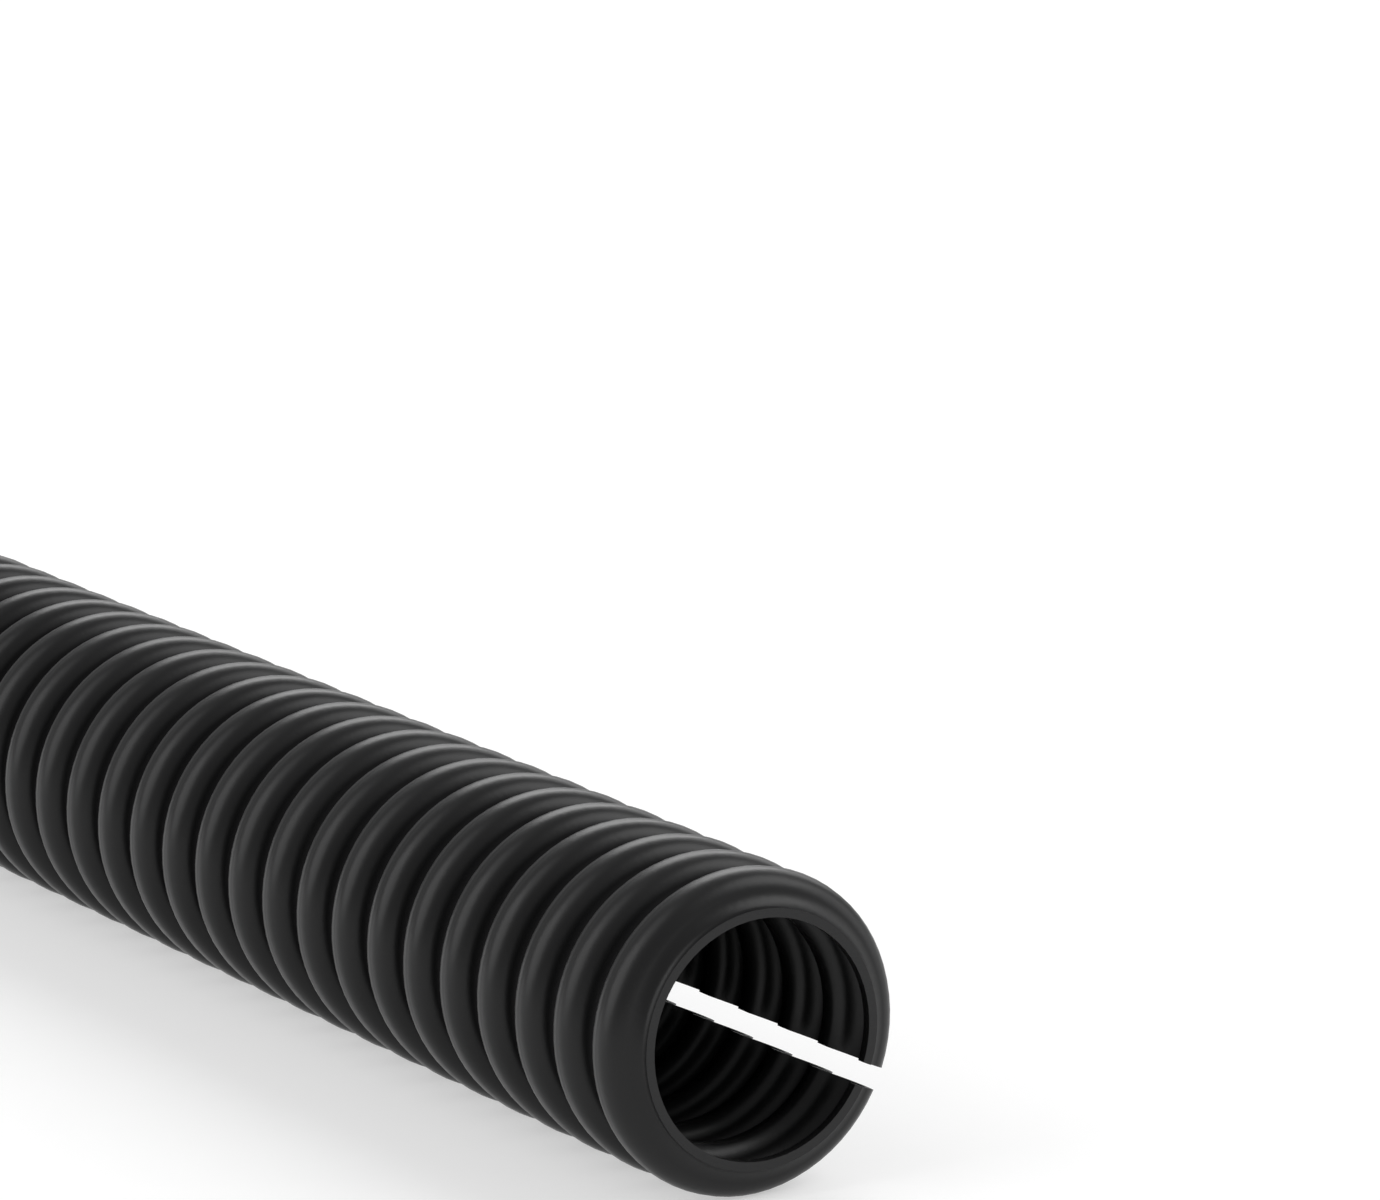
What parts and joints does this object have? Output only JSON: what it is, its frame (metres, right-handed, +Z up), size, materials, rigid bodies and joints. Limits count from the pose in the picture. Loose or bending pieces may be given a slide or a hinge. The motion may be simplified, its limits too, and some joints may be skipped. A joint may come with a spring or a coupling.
{
  "type": "corrugated conduit",
  "caption": "Straight length of thin-walled corrugated plastic conduit, slit open along one side so that cables can be laid in from the side.",
  "frame": {"origin": "on the floor under the middle of the conduit's length", "axes": "+X along the conduit's axis, +Y horizontal on the side that the slit faces, +Z up"},
  "size_m": [1.0005, 0.025, 0.025],
  "materials": {
    "black_plastic": "extruded and vacuum-formed, satin"
  },
  "bodies": {
    "root": {"conduit": "black_plastic"}
  },
  "joints": []
}
